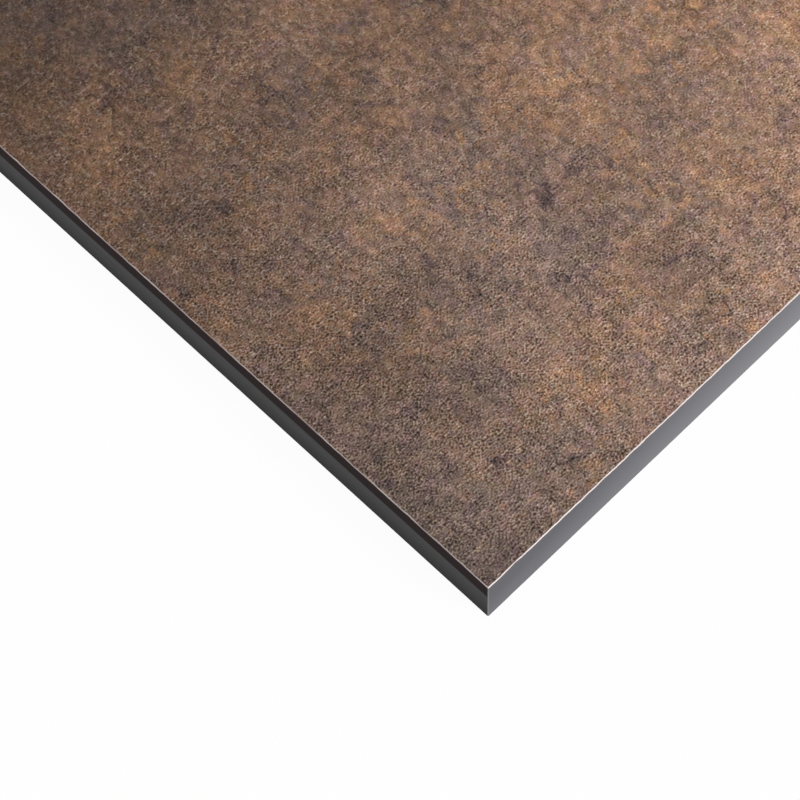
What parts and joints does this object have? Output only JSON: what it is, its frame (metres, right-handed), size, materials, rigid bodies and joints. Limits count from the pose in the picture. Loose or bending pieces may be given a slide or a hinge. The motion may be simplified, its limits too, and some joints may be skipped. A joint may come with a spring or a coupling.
{
  "type": "compact laminate board",
  "caption": "Flat rectangular compact laminate sheet with a mottled rust-brown print on both faces, a black core at its sawn edges and finely eased rims.",
  "frame": {"origin": "middle of the underside, on the plane that the board lies on", "axes": "+X along the long edges, +Y along the short ends, +Z out of the upper printed face"},
  "size_m": [2.8, 1.3, 0.012],
  "materials": {
    "laminate": "satin"
  },
  "bodies": {
    "root": {"board": "laminate"}
  },
  "joints": []
}
